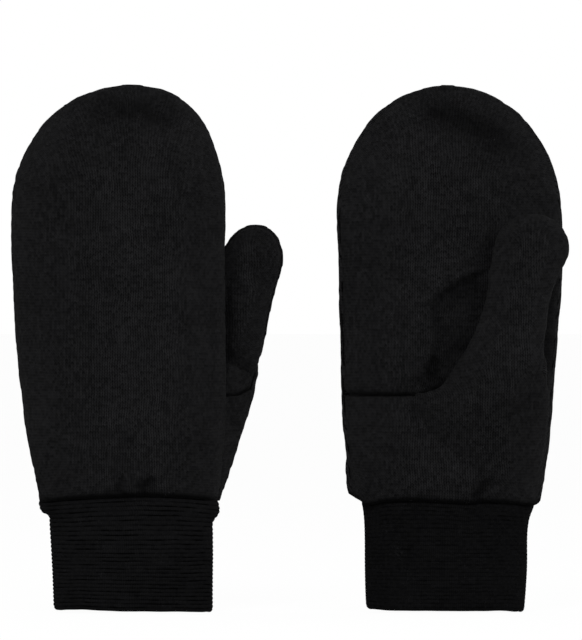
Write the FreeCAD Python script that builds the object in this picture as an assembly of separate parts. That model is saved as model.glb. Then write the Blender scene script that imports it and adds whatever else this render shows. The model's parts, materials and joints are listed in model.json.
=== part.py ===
"""A pair of lined knit mittens, standing on their cuffs with the finger pockets up.

Each mitten is cut and sewn: a one-piece back, a palm in two panels whose joining seam runs across the
palm and on round the thumb, a fleece lining cut the same way, and a doubled rib cuff. The left mitten
shows its back towards -Y and the right one its palm. Millimetres, +Z up, origin under the middle of the
pair on the plane of the cuff rims.

In a mitten's own frame the cuff stands on the origin, the palm faces +Y and the thumb is at +X.
"""
import FreeCAD
import Part

import math
import os
from FreeCAD import Placement, Rotation, Vector

PAIR_SPACING = 150.8         # between the cuffs' middles

# Pocket for the hand: (height, share of the lean, half width, half depth) of each oval section.
POCKET_SECTIONS = [
    (48.5, 0.35, 44.0, 14.2),
    (53.5, 0.4, 44.3, 14.6),
    (59.0, 0.45, 45.6, 15.6),
    (76.0, 0.6, 47.4, 16.0),
    (100.0, 0.8, 49.6, 16.0),
    (130.0, 0.95, 51.6, 16.0),
    (162.0, 1.0, 52.7, 16.0),
    (190.0, 1.0, 52.7, 16.0),
]
POCKET_MIDDLE = -2.8         # offset from the cuff's middle to the little-finger side
POCKET_LEAN = {"left": -4.2, "right": 4.2}
POCKET_BOTTOM = 53.5
POCKET_TOP = 256.0           # fingertip end
DOME_STEPS = 5               # ovals that round off a closed end

SIDE_SEAM_Y = 5.0            # the back panel wraps this far onto the palm side
KNIT = 2.0                   # shell cloth
FLEECE = 2.5                 # lining cloth
LAYER_GAP = 0.1              # between shell and lining

# Cuff: a rib tube folded double at its rim and sewn in at its top.
CUFF_SECTIONS = [
    (0.0, 0.0, 38.0, 11.4),
    (20.0, 0.1, 38.6, 11.6),
    (40.0, 0.25, 39.6, 11.9),
    (46.0, 0.3, 41.4, 12.4),
    (52.0, 0.35, 42.2, 12.8),
    (57.0, 0.4, 40.4, 12.2),
    (62.0, 0.45, 39.8, 12.0),
]
CUFF_MIDDLE_SHARE = 3.0      # how strongly the cuff follows the lean, against the pocket
RIB = 1.7                    # one layer of rib
RIB_GAP = 0.4                # air inside the fold
SEAM_BOTTOM, SEAM_TOP = 57.5, 62.0           # overlocked edges inside the mouth

# Seam across the palm: level from the little-finger side, then rising past the thumb opening.
PALM_SEAM_LOW = 104.0
PALM_SEAM_HIGH = 121.0
PALM_SEAM_START_X = -16.0
PALM_SEAM_END_X = 14.0

# Fold across the finger pocket, just above the thumb's tip.
FOLD_Z = 197.0
FOLD_GAP = 0.3

# Thumb: a flat sleeve in front of the palm, turning on its round opening. Sections as for the pocket,
# with heights from the opening's middle and each section's own middle in X.
THUMB_X, THUMB_Y, THUMB_Z = 31.0, 27.0, 96.0
THUMB_SECTIONS = [
    (0.0, -3.0, 22.0, 9.5),
    (24.0, -7.0, 23.0, 9.5),
    (48.0, -2.8, 18.7, 9.5),
    (76.0, 0.0, 18.0, 9.0),
]
THUMB_TIP = 96.0             # from the opening's middle
THUMB_HEEL = -34.0
THUMB_TILT = {"left": 18.0, "right": 7.0}    # outwards at rest
THUMB_OPENING_R = 13.4
COLLAR_R = 16.0              # outside of the band of cloth round the opening
COLLAR_SPLIT_Y = 16.85       # where hand and thumb part
COLLAR_GAP = 0.3

FAR = 400.0                  # larger than a mitten


def oval(height, middle, half_width, half_depth):
    """One level oval section as a closed wire."""
    centre = Vector(middle, 0, height)
    ellipse = Part.Ellipse(centre + Vector(half_width, 0, 0), centre + Vector(0, half_depth, 0), centre)
    return Part.Wire([ellipse.toShape()])


def dome(section, rise):
    """Ovals from a section to the point that closes it, rising upwards or, if negative, downwards."""
    height, middle, wide, deep = section
    angles = [math.pi / 2 * step / DOME_STEPS for step in range(1, DOME_STEPS)]
    rings = [oval(height + rise * math.sin(a), middle, wide * math.cos(a), deep * math.cos(a)) for a in angles]
    return rings + [Part.Vertex(middle, 0, height + rise)]


def sleeve(sections, top=None, bottom=None, inset=0.0):
    """Smooth solid through oval sections drawn in by inset, closed round at top and bottom if given."""
    drawn_in = [(z, x, wide - inset, deep - inset) for z, x, wide, deep in sections]
    profiles = [oval(*section) for section in drawn_in]
    if top is not None:
        profiles = profiles + dome(drawn_in[-1], top - inset - drawn_in[-1][0])
    if bottom is not None:
        profiles = dome(drawn_in[0], bottom + inset - drawn_in[0][0])[::-1] + profiles
    return Part.makeLoft(profiles, True, False)


def slab(axis, low, high):
    """Huge box between two planes square to one axis."""
    start = [-FAR, -FAR, -FAR]
    size = [2 * FAR, 2 * FAR, 2 * FAR]
    start["XYZ".index(axis)] = low
    size["XYZ".index(axis)] = high - low
    return Part.makeBox(*size, Vector(*start))


def bar_along_y(radius, low, high, x=0.0, z=0.0):
    """Round bar from low to high in Y."""
    return Part.makeCylinder(radius, high - low, Vector(x, low, z), Vector(0, 1, 0))


def pocket(lean, inset=0.0):
    """Hand pocket, filled, reaching a little below the cuff seam."""
    sections = [(z, POCKET_MIDDLE + share * lean, wide, deep) for z, share, wide, deep in POCKET_SECTIONS]
    return sleeve(sections, top=POCKET_TOP, inset=inset)


def thumb_sleeve(inset=0.0):
    """Thumb, filled and upright, with the opening's middle at the origin."""
    return sleeve(THUMB_SECTIONS, top=THUMB_TIP, bottom=THUMB_HEEL, inset=inset)


def cuff_tube(lean, inset=0.0, drop=0.0):
    """Cuff, filled; drop lengthens it below its rim."""
    sections = [(z, share * (POCKET_MIDDLE + lean), wide, deep) for z, share, wide, deep in CUFF_SECTIONS]
    if drop:
        rim = sections[0]
        sections = [(rim[0] - drop,) + rim[1:]] + sections
    return sleeve(sections, inset=inset)


def below_palm_seam():
    """Everything under the palm seam: two level runs joined by a pair of equal arcs."""
    run = PALM_SEAM_END_X - PALM_SEAM_START_X
    rise = PALM_SEAM_HIGH - PALM_SEAM_LOW
    radius = (run * run + rise * rise) / (4 * rise)
    half_turn = math.asin(run / 2 / radius) / 2
    bow = Vector(radius * math.sin(half_turn), 0, radius * (1 - math.cos(half_turn)))
    first = Vector(PALM_SEAM_START_X, -FAR, PALM_SEAM_LOW)
    last = Vector(PALM_SEAM_END_X, -FAR, PALM_SEAM_HIGH)
    middle = (first + last) / 2
    corners = [last, Vector(FAR, -FAR, PALM_SEAM_HIGH), Vector(FAR, -FAR, -FAR)]
    corners += [Vector(-FAR, -FAR, -FAR), Vector(-FAR, -FAR, PALM_SEAM_LOW), first]
    edges = [Part.Arc(first, first + bow, middle).toShape(), Part.Arc(middle, last - bow, last).toShape()]
    edges += [Part.makeLine(a, b) for a, b in zip(corners, corners[1:])]
    return Part.Face(Part.Wire(edges)).extrude(Vector(0, 2 * FAR, 0))


def pocket_panels(lean):
    """Panels of the hand and finger pocket, shell and lining, by name."""
    palm_side = slab("Y", SIDE_SEAM_Y, FAR)
    back_side = slab("Y", -FAR, SIDE_SEAM_Y)
    below_fold = slab("Z", -FAR, FOLD_Z - FOLD_GAP / 2)
    above_fold = slab("Z", FOLD_Z + FOLD_GAP / 2, FAR)
    under_seam = below_palm_seam()
    opening = bar_along_y(THUMB_OPENING_R, 0, FAR, THUMB_X, THUMB_Z)
    lining_out = KNIT + LAYER_GAP
    shell = pocket(lean).cut(pocket(lean, KNIT)).common(slab("Z", POCKET_BOTTOM, FAR))
    shell = shell.cut(cuff_tube(lean))
    lining = pocket(lean, lining_out).cut(pocket(lean, lining_out + FLEECE))
    lining = lining.common(slab("Z", SEAM_TOP, FAR))
    panels = {}
    for layer, name in ((shell, ""), (lining, "lining_")):
        back = layer.common(back_side)
        palm = layer.common(palm_side)
        hand_palm = palm.common(below_fold).cut(opening)
        panels[name + "back_hand"] = back.common(below_fold)
        panels[name + "back_fingertips"] = back.common(above_fold)
        panels[name + "palm_upper"] = hand_palm.cut(under_seam)
        panels[name + "palm_lower"] = hand_palm.common(under_seam)
        panels[name + "palm_fingertips"] = palm.common(above_fold)
    collar = bar_along_y(COLLAR_R, SIDE_SEAM_Y, COLLAR_SPLIT_Y - COLLAR_GAP / 2, THUMB_X, THUMB_Z)
    collar = collar.cut(opening).cut(pocket(lean, KNIT / 2))
    panels["palm_lower"] = panels["palm_lower"].fuse(collar)
    return panels


def thumb_panels(tilt):
    """The two panels of the thumb, shell and lining, tilted outwards."""
    front = slab("Y", 0, FAR)
    back = slab("Y", -FAR, 0)
    opening = bar_along_y(THUMB_OPENING_R, -FAR, 0)
    lining_out = KNIT + LAYER_GAP
    shell = thumb_sleeve().cut(thumb_sleeve(KNIT))
    lining = thumb_sleeve(lining_out).cut(thumb_sleeve(lining_out + FLEECE))
    collar = bar_along_y(COLLAR_R, COLLAR_SPLIT_Y + COLLAR_GAP / 2 - THUMB_Y, 0)
    collar = collar.cut(opening).cut(thumb_sleeve(KNIT / 2))
    panels = {
        "thumb_front": shell.common(front),
        "thumb_back": shell.common(back).cut(opening).fuse(collar),
        "lining_thumb_front": lining.common(front),
        "lining_thumb_back": lining.common(back).cut(opening),
    }
    place = Placement(Vector(THUMB_X, THUMB_Y, THUMB_Z), Rotation(Vector(0, 1, 0), tilt))
    return {name: panel.transformed(place.toMatrix()) for name, panel in panels.items()}


def cuff(lean):
    """Doubled rib tube: two walls with air between them, joined by the fold at the rim."""
    tube = cuff_tube(lean).cut(cuff_tube(lean, 2 * RIB + RIB_GAP, drop=5))
    gap = cuff_tube(lean, RIB).cut(cuff_tube(lean, RIB + RIB_GAP))
    return tube.cut(gap.common(slab("Z", RIB, FAR)))


def cuff_seam(lean):
    """Overlocked edges of shell, lining and cuff, turned inside: a ring between pocket and cuff."""
    band = pocket(lean, KNIT).cut(cuff_tube(lean))
    return band.common(slab("Z", SEAM_BOTTOM, SEAM_TOP))


def mitten(side):
    """All pieces of one mitten in its own frame, by name."""
    lean = POCKET_LEAN[side]
    pieces = {"cuff": cuff(lean), "cuff_seam": cuff_seam(lean)}
    pieces.update(pocket_panels(lean))
    pieces.update(thumb_panels(THUMB_TILT[side]))
    return pieces


def main():
    """Builds both mittens, centres the pair in X and writes one STEP file per piece."""
    os.makedirs("parts", exist_ok=True)
    pair = {}
    for side, place in (("left", -PAIR_SPACING / 2), ("right", PAIR_SPACING / 2)):
        for name, piece in mitten(side).items():
            if side == "right":
                piece = piece.mirror(Vector(0, 0, 0), Vector(0, 1, 0))
            piece.translate(Vector(place, 0, 0))
            pair[side + "_" + name] = piece
    boxes = [piece.optimalBoundingBox(False) for piece in pair.values()]
    shift = -(min(box.XMin for box in boxes) + max(box.XMax for box in boxes)) / 2
    for name, piece in pair.items():
        piece.translate(Vector(shift, 0, 0))
        print("%-32s %d solid, valid %s, %.0f mm3" % (name, len(piece.Solids), piece.isValid(), piece.Volume))
        piece.exportStep(os.path.join("parts", name + ".step"))
    print("pair shifted by %.4f mm in X" % shift)


main()
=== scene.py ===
"""A pair of lined knit mittens: black jersey pockets, rib cuffs and a fleece lining.

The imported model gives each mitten's place and the hinge of its fingers. Every cloth piece is modelled here:
each mitten's pocket and thumb start as soft closed forms, which are joined, smoothed, blown up a little as
cloth, drawn in along the sewing lines and cut there into the panels that a maker would cut. Sizes in the
dataclasses are millimetres in the mitten's own frame, where the cuff stands on the origin, the palm faces
+Y and the thumb is at +X; Placement turns them into metres in the model's frame.
"""
from __future__ import annotations

import json
import logging
import math
from collections.abc import Callable
from dataclasses import dataclass, replace
from enum import Enum
from functools import cached_property

import bmesh
import bpy
from mathutils import Matrix, Vector, noise

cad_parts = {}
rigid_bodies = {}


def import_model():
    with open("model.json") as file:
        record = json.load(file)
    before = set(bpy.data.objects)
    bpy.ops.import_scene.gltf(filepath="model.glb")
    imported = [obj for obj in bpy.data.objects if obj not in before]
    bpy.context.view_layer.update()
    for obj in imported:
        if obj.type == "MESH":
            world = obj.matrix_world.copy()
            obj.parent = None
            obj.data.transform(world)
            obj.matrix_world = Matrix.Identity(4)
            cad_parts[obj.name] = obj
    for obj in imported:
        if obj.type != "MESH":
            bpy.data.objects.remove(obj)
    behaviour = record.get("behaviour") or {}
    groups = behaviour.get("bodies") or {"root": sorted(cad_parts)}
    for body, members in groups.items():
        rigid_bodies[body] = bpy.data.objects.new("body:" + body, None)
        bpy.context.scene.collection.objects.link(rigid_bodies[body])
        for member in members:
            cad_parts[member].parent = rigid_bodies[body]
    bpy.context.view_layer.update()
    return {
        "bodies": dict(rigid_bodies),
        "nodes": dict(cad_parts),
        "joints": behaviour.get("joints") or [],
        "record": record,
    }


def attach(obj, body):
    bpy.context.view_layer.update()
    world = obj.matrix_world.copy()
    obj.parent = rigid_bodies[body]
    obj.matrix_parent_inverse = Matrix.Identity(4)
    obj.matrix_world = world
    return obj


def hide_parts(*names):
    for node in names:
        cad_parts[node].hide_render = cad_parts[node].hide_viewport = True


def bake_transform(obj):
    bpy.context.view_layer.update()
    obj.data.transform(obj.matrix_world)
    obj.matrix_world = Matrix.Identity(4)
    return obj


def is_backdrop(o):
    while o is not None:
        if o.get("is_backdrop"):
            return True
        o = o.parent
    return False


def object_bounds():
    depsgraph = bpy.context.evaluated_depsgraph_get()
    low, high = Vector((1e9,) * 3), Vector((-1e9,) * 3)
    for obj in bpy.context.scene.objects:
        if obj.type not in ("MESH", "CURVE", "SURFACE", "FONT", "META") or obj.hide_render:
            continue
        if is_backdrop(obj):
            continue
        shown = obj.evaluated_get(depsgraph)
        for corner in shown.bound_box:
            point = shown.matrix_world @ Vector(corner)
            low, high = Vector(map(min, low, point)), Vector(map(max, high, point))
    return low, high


MM = 0.001
LOG = logging.getLogger("mittens")
CRISP_ANGLE = 1.1
TURNED_AWAY = -0.1
BROAD_WAVES, SMALL_WAVES = (0.045, 0.6), (0.13, 0.25)
SPIN_RADIUS, CLOTH_RADIUS = 100.0, 34.0
LINING_TOP = 58.5

Span = tuple[float, float]
Points = tuple[Span, ...]
Place = tuple[float, float, float]


class Side(Enum):
    """Which hand a mitten is for."""

    LEFT = "left"
    RIGHT = "right"


class Face(Enum):
    """Which face of a mitten a fold lies on: the sign of its Y in the mitten's own frame."""

    BACK = -1
    PALM = 1


class Panel(Enum):
    """The sewn panels of a mitten, the same in shell and lining."""

    BACK = "back"
    UPPER_PALM = "upper_palm"
    LOWER_PALM = "lower_palm"
    THUMB_BACK = "thumb_back"


PANEL_NODES = {
    Panel.BACK: ("back_hand", "back_fingertips"),
    Panel.UPPER_PALM: ("palm_upper", "palm_fingertips"),
    Panel.LOWER_PALM: ("palm_lower", "thumb_front"),
    Panel.THUMB_BACK: ("thumb_back",),
}


def smooth_step(low: float, high: float, value: float) -> float:
    """Soft step from 0 at low to 1 at high.

    Args:
        low: Where the step starts.
        high: Where it ends.
        value: The position asked about.

    Returns:
        The share of the step, from 0 to 1.
    """
    t = min(max((value - low) / (high - low), 0.0), 1.0)
    return t * t * (3 - 2 * t)


def curve_at(points: Points, position: float) -> float:
    """Smooth curve through points, level beyond its ends.

    Args:
        points: (position, value) pairs in rising order of position.
        position: The position asked about.

    Returns:
        The curve's value there.
    """
    if position <= points[0][0]:
        return points[0][1]
    if position >= points[-1][0]:
        return points[-1][1]
    index = next(i for i in range(len(points) - 1) if position <= points[i + 1][0])
    (p0, v0), (p1, v1) = points[index], points[index + 1]
    before, after = points[max(index - 1, 0)], points[min(index + 2, len(points) - 1)]
    span, rise = p1 - p0, v1 - v0
    bend0 = (v1 - before[1]) / (p1 - before[0]) * span - rise
    bend1 = rise - (after[1] - v0) / (after[0] - p0) * span
    t = (position - p0) / span
    return v0 + rise * t + t * (1 - t) * ((1 - t) * bend0 + t * bend1)


def distance_to_path(path: Points, x: float, z: float) -> tuple[float, float]:
    """Distance from a point to a bent line in the front plane.

    Args:
        path: Corners of the line.
        x: The point's X.
        z: The point's Z.

    Returns:
        The distance, negative on the right-hand side of the line, and the share of its length passed.
    """
    best, signed, passed = math.inf, math.inf, 0.0
    for index, ((x0, z0), (x1, z1)) in enumerate(zip(path, path[1:])):
        run_x, run_z = x1 - x0, z1 - z0
        t = ((x - x0) * run_x + (z - z0) * run_z) / (run_x * run_x + run_z * run_z)
        t = min(max(t, 0.0), 1.0)
        off_x, off_z = x - x0 - t * run_x, z - z0 - t * run_z
        gap = math.hypot(off_x, off_z)
        if gap < best:
            best = gap
            signed = math.copysign(gap, run_x * off_z - run_z * off_x)
            passed = (index + t) / (len(path) - 1)
    return signed, passed


def cut_faces(bm: bmesh.types.BMesh, keep: Callable, point: tuple, normal: tuple, snap: float = 0.25) -> None:
    """Cuts some faces of a mesh by a plane; points very near it are moved onto it.

    Args:
        bm: The mesh, in metres.
        keep: Picks a face by its middle, in millimetres.
        point: A point of the plane, in millimetres.
        normal: Across the plane.
        snap: How near a point is moved onto the plane, in millimetres.
    """
    faces = [face for face in bm.faces if keep(face.calc_center_median() / MM)]
    edges = list({edge for face in faces for edge in face.edges})
    verts = list({vert for face in faces for vert in face.verts})
    plane = {"plane_co": Vector(point) * MM, "plane_no": Vector(normal).normalized()}
    bmesh.ops.bisect_plane(bm, geom=verts + edges + faces, dist=snap * MM, use_snap_center=True, **plane)


def soften(bm: bmesh.types.BMesh, times: int) -> None:
    """Evens out a mesh a few times, each point halfway towards its neighbours."""
    for _ in range(times):
        bmesh.ops.smooth_vert(bm, verts=bm.verts, factor=0.5, use_axis_x=True, use_axis_y=True, use_axis_z=True)


@dataclass(frozen=True)
class Form:
    """A soft closed form, drawn by its side edges and its back and front surfaces over the height.

    Heights and X are measured from pivot along an axis that leans outwards by tilt degrees.
    """

    inner_edge: Points
    outer_edge: Points
    back: Points
    front: Points
    bottom: float
    shoulder: float
    tip: tuple[float, float, float]
    outer_squareness: float = 1.0
    fullness: Points = ((0.0, 2.3), (1.0, 2.3))
    tilt: float = 0.0
    pivot: tuple[float, float] = (0.0, 0.0)

    def section(self, height: float) -> tuple[float, float, float, float]:
        """The level section at a height, rounded off above the shoulder.

        Args:
            height: Along the form's axis.

        Returns:
            Inner X, outer X, back Y and front Y.
        """
        level = min(height, self.shoulder)
        edges = [curve_at(line, level) for line in (self.inner_edge, self.outer_edge, self.back, self.front)]
        if height > self.shoulder:
            rise = min((height - self.shoulder) / (self.tip[2] - self.shoulder), 1.0)
            closed = math.sqrt(1 - rise * rise)
            powers = (1.0, self.outer_squareness, 1.0, 1.0)
            middles = (self.tip[0], self.tip[0], self.tip[1], self.tip[1])
            edges = [m + (e - m) * closed ** p for m, e, p in zip(middles, edges, powers)]
        return tuple(edges)

    def axis_frame(self) -> Matrix:
        """From the form's own axis to the mitten's frame."""
        place = Matrix.Translation((self.pivot[0], 0.0, self.pivot[1]))
        return place @ Matrix.Rotation(math.radians(self.tilt), 4, "Y")

    def point(self, direction: Vector) -> Vector:
        """Point of the form, along its own axis, for a direction on the unit ball."""
        angle = math.asin(max(-1.0, min(1.0, direction.z)))
        if angle < 0:
            height = self.shoulder + angle / (math.pi / 2) * (self.shoulder - self.bottom)
        else:
            height = self.shoulder + math.sin(angle) * (self.tip[2] - self.shoulder)
        inner, outer, back, front = self.section(height)
        flat = math.hypot(direction.x, direction.y)
        if flat < 1e-6:
            return Vector(((inner + outer) / 2, (back + front) / 2, height))
        power = 2 / curve_at(self.fullness, height)
        across = math.copysign(abs(direction.x / flat) ** power, direction.x)
        through = math.copysign(abs(direction.y / flat) ** power, direction.y)
        x = (inner + outer) / 2 + across * (outer - inner) / 2
        y = (back + front) / 2 + through * (front - back) / 2
        return Vector((x, y, height))

    def add_to(self, bm: bmesh.types.BMesh, meridians: int, rings: int) -> None:
        """Adds the closed form to a mesh, in metres.

        Args:
            bm: The mesh to add to.
            meridians: Edges round the form.
            rings: Edges from bottom to tip.
        """
        place = Matrix.Diagonal((MM, MM, MM, 1.0)) @ self.axis_frame()
        ball = bmesh.ops.create_uvsphere(bm, u_segments=meridians, v_segments=rings, radius=1.0)
        for vert in ball["verts"]:
            vert.co = place @ self.point(vert.co)


@dataclass(frozen=True)
class Fold:
    """A soft ridge or valley along a line on one face.

    Reach is counted in widths. One_sided keeps the fold to the line's right-hand side, where onset gives how it
    sets in and tail how it runs out. Shade is how much painted shade a valley lays on the cloth's colour.
    """

    face: Face
    path: Points
    height: float
    width: float
    one_sided: bool = False
    fade: float = 0.3
    panel: Panel | None = None
    shade: float = 0.3
    reach: float = 4.0
    face_split_y: float = 4.0
    onset: Span = (-0.2, 0.35)
    tail: float = 5.0

    @cached_property
    def limits(self) -> tuple[float, float, float, float]:
        """Lowest and highest x, then lowest and highest z, that the fold touches."""
        xs, zs = [x for x, _ in self.path], [z for _, z in self.path]
        far = self.reach * self.width
        return min(xs) - far, max(xs) + far, min(zs) - far, max(zs) + far

    def lift(self, place: Vector, panel: Panel) -> float:
        """How far the cloth stands out at a place, in millimetres."""
        left, right, low, high = self.limits
        if not (left < place.x < right and low < place.z < high):
            return 0.0
        if (place.y - self.face_split_y) * self.face.value < 0 or self.panel not in (None, panel):
            return 0.0
        signed, passed = distance_to_path(self.path, place.x, place.z)
        if abs(signed) > self.reach * self.width:
            return 0.0
        ends = smooth_step(0.0, self.fade, passed) * smooth_step(0.0, self.fade, 1.0 - passed)
        if self.one_sided:
            depth = -signed / self.width
            share = smooth_step(*self.onset, depth) * math.exp(-max(depth, 0.0) ** 2 / self.tail)
            return self.height * share * ends
        return self.height * math.exp(-(signed / self.width) ** 2) * ends

    def crease(self, lift: float) -> float:
        """Painted shade that a valley lays on the cloth's colour where it has that lift, from 0 to 1."""
        return self.shade * min(lift / self.height, 1.0) if self.height < 0 else 0.0


@dataclass(frozen=True)
class SewingLines:
    """Where the panels of a mitten meet, how deep the seams draw the cloth in, and how much painted shade darkens the
    cloth along them.

    A Span says where a change along one axis begins and where it ends.
    """

    side_y: float = 5.0
    palm_z: float = 105.0
    thumb_foot_y: float = 16.9
    thumb_rise: float = 0.26
    outer_rise: float = 1.0
    thumb_x: float = 31.0
    thumb_y: float = 28.5
    palm_clear_y: float = 17.4
    thumb_clear_y: float = 14.0
    cuff_z: float = 52.0
    cuff_curve: Points = ((-45, 52), (45, 52))
    arch_reach: float = 24.0

    palm_spread: float = 2.5
    turn_spread_loss: float = 2.1
    thumb_spread_gain: float = 0.6
    turn_begins: Span = (-18.0, -11.0)
    turn_ends: Span = (-3.0, 12.0)

    side_draw: float = 0.4
    side_least: float = 0.45
    side_fade_x: Span = (10.0, -20.0)
    side_fade_z: Span = (150.0, 200.0)
    palm_draw: float = 2.6
    thumb_draw: float = 0.7
    draw_change: Span = (-6.0, 6.0)
    draw_width: float = 0.8
    roll_width: float = 1.9
    welt: float = 0.25
    welt_width: float = 3.0
    hem_roll: float = 0.8
    hem_height: float = 4.0
    hem_ends: Span = (34.0, 42.0)

    inner_turn: Points = (
        (-22, 0), (-16, 0.6), (-12.5, 0.2), (-9, -1.2), (-4.6, -2.5), (0, -2.3), (4, -2.2), (9, -1.7),
        (14, -0.8), (20, 0),
    )
    outer_turn: float = 0.0
    outer_turn_x: Span = (48.0, 59.0)
    turn_rise: float = 7.0
    turn_height: float = 13.0
    outer_share: float = 0.0
    outer_x: Span = (36.0, 44.0)
    outer_draw: float = 0.35

    # Painted shade along the seams: how strong it is, how wide, and where it fades.
    cuff_dark: float = 0.94
    cuff_dark_from: float = 0.8
    cuff_dark_width: float = 1.5
    side_dark: float = 0.15
    side_dark_width: float = 0.7
    thumb_dark_loss: float = 0.45
    thumb_dark_x: Span = (-5.0, 3.0)
    end_dark: float = 0.5
    end_dark_x: Span = (-50.0, -36.0)
    turn_dark_x: tuple[Span, Span] = ((-17.0, -12.0), (-3.0, 5.0))
    upper_dark_width: float = 1.3
    upper_thumb_loss: float = 0.5
    lower_dark_width: float = 0.45
    lower_turn_gain: float = 0.6
    high_dark_loss: float = 0.9
    high_dark_z: Span = (114.0, 122.0)
    high_outer_drop: Span = (7.0, 10.0)

    cut_reach: float = 6.0
    palm_cut_reach: float = 5.0
    rows: tuple[float, ...] = (-0.45, -1.0, 0.5, 1.2, 2.2)
    row_reach: float = 3.0
    row_snap: float = 0.12

    def thumb_middle(self, place: Vector) -> float:
        """Y of the seam that runs round the thumb, level with a place on its inner or outer side."""
        rise = self.thumb_rise if place.x < self.thumb_x else self.outer_rise
        return min(self.thumb_y, self.thumb_foot_y + rise * (place.z - self.palm_z))

    def palm_gap(self, place: Vector) -> float:
        """Distance from the seam round the upper palm and the thumb's back, negative on the lower palm's side."""
        spread = self.palm_spread - self.turn_spread_loss * smooth_step(*self.turn_begins, place.x)
        spread += self.thumb_spread_gain * smooth_step(*self.turn_ends, place.x)
        return min(place.z - self.palm_z, (self.thumb_middle(place) - place.y) * spread)

    def cuff_shift(self, place: Vector) -> float:
        """How far the arch of the cuff seam lifts a place near it."""
        near = 1 - smooth_step(0.0, self.arch_reach, abs(place.z - self.cuff_z))
        return (curve_at(self.cuff_curve, place.x) - self.cuff_z) * near

    def palm_shift(self, place: Vector) -> float:
        """How far the cloth is lifted where the palm seam turns up into the thumb, or round its outer side."""
        if place.y < self.side_y:
            return 0.0
        near = math.exp(-(((place.z - self.palm_z - self.turn_rise) / self.turn_height) ** 2))
        outer = self.outer_turn * smooth_step(*self.outer_turn_x, place.x)
        return near * (curve_at(self.inner_turn, place.x) + outer)

    def panel(self, place: Vector) -> Panel:
        """The panel that a place on the mitten's surface belongs to."""
        if place.y < self.side_y:
            return Panel.BACK
        if place.z < self.palm_z or place.y > self.thumb_middle(place):
            return Panel.LOWER_PALM
        return Panel.THUMB_BACK if place.y > self.palm_clear_y else Panel.UPPER_PALM

    def draw(self, gap: float, depth: float, width: float) -> float:
        """Lift of the cloth beside a seam.

        Args:
            gap: Distance from the seam.
            depth: How far the seam draws the cloth in.
            width: How far the cloth takes to rise from the seam.

        Returns:
            The lift, in millimetres, with a low welt past the groove.
        """
        groove = -depth * math.exp(-(gap / width) ** 2)
        return groove + self.welt * depth * math.exp(-((gap - 3 * width) / self.welt_width) ** 2)

    def lift(self, place: Vector) -> float:
        """Total lift of the cloth by the seams near a place."""
        reach = 3 * self.welt_width
        total = -self.hem_roll * (1 - smooth_step(0.0, self.hem_height, place.z - self.cuff_z)) ** 2
        total *= 1 - smooth_step(*self.hem_ends, abs(place.x))
        if abs(place.y - self.side_y) < reach:
            strong = smooth_step(*self.side_fade_x, place.x) * (1 - smooth_step(*self.side_fade_z, place.z))
            share = self.side_least + (1 - self.side_least) * strong
            total += self.draw(abs(place.y - self.side_y), self.side_draw * share, self.draw_width)
        gap = self.palm_gap(place)
        if place.y > self.side_y and abs(gap) < reach:
            width = self.roll_width if gap > 0 else self.draw_width
            outer = self.outer_draw * self.outer_share * smooth_step(*self.outer_x, place.x)
            on_thumb = smooth_step(*self.draw_change, place.x) * (1 - outer)
            depth = self.palm_draw + (self.thumb_draw - self.palm_draw) * on_thumb
            total += self.draw(abs(gap), depth, width)
        return total

    def crease(self, place: Vector) -> float:
        """Painted shade that the seams lay on the cloth's colour near a place, from 0 to 1."""
        above_hem = max(place.z - self.cuff_z - self.cuff_dark_from, 0.0)
        dark = self.cuff_dark * math.exp(-((above_hem / self.cuff_dark_width) ** 2))
        dark = max(dark, self.side_dark * math.exp(-((place.y - self.side_y) / self.side_dark_width) ** 2))
        if place.y <= self.side_y:
            return dark
        gap = self.palm_gap(place)
        outer = self.outer_share * smooth_step(*self.outer_x, place.x)
        on_thumb = smooth_step(*self.thumb_dark_x, place.x) * (1 - outer)
        begins, ends = (smooth_step(*span, place.x) for span in self.turn_dark_x)
        if gap > 0:
            width = self.upper_dark_width - self.upper_thumb_loss * on_thumb
        else:
            width = self.lower_dark_width + self.lower_turn_gain * begins * (1 - ends)
        share = self.end_dark + (1 - self.end_dark) * smooth_step(*self.end_dark_x, place.x)
        share *= 1 - self.thumb_dark_loss * on_thumb
        low, high = (z - drop * outer for z, drop in zip(self.high_dark_z, self.high_outer_drop))
        share *= 1 - self.high_dark_loss * smooth_step(low, high, place.z)
        return max(dark, share * math.exp(-((gap / width) ** 2)))

    def cut(self, bm: bmesh.types.BMesh) -> None:
        """Cuts a mesh in the mitten's own frame, in metres, along every sewing line and marks its panels."""
        whole = list(bm.verts) + list(bm.edges) + list(bm.faces)
        rim = Vector((0.0, 0.0, self.cuff_z)) * MM
        bmesh.ops.bisect_plane(bm, geom=whole, dist=1e-7, plane_co=rim, plane_no=(0, 0, 1), clear_inner=True)
        across, level = (0, 1, 0), (0, 0, 1)
        cut_faces(bm, lambda c: abs(c.y - self.side_y) < self.cut_reach, (0, self.side_y, 0), across)
        cut_faces(
            bm,
            lambda c: c.y > self.side_y and abs(c.z - self.palm_z) < self.palm_cut_reach,
            (0, 0, self.palm_z),
            level,
        )

        def on_thumb(middle: Vector) -> bool:
            """Whether the middle of a face lies on the thumb, above the straight palm seam."""
            return middle.z > self.palm_z + 1e-4

        foot = (0, self.thumb_foot_y, self.palm_z)
        for side, rise in ((-1, self.thumb_rise), (1, self.outer_rise)):
            cut_faces(
                bm,
                lambda c: on_thumb(c) and c.y > self.thumb_clear_y and (c.x - self.thumb_x) * side > 0,
                foot,
                (0, 1, -rise),
            )
        for y in (self.thumb_y, self.palm_clear_y):
            cut_faces(bm, lambda c: on_thumb(c) and abs(c.y - y) < self.cut_reach, (0, y, 0), across)
        bmesh.ops.triangulate(bm, faces=[face for face in bm.faces if len(face.verts) > 4])
        layer = bm.faces.layers.int.new("panel")
        for face in bm.faces:
            face[layer] = list(Panel).index(self.panel(face.calc_center_median() / MM))

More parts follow.
